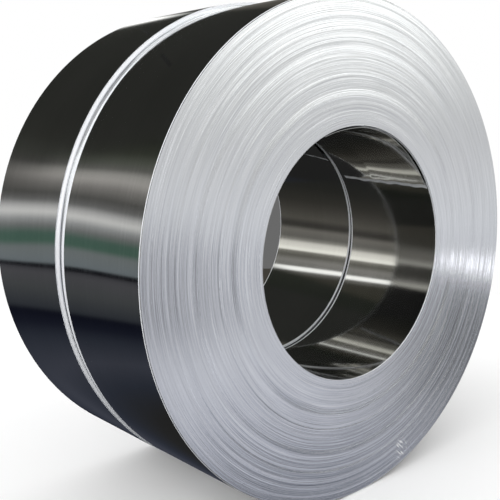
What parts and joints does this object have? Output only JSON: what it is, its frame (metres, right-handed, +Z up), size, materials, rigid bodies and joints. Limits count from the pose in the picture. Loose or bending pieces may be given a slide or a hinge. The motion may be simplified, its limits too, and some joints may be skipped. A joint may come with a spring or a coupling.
{
  "type": "slit steel coil",
  "caption": "Heavy cold-rolled steel strip coil lying on its rim, slit into narrow coils that sit end to end, with an open mandrel bore right through.",
  "frame": {"origin": "on the floor, at the centre of the bottom of the overall box, midway between the two end faces", "axes": "+Z up, the coils' axes along Y, with the front coil at -Y and its outer end face looking towards -Y"},
  "size_m": [1.0252, 0.524, 1.0259],
  "materials": {
    "strip_surface": "bright cold-rolled strip surface, close to a mirror, with faint lines",
    "cut_edges": "satin slit edges of the turns, fine concentric lines"
  },
  "bodies": {
    "root": {"front_slit_coil": "strip_surface", "back_slit_coil": "strip_surface"}
  },
  "joints": []
}
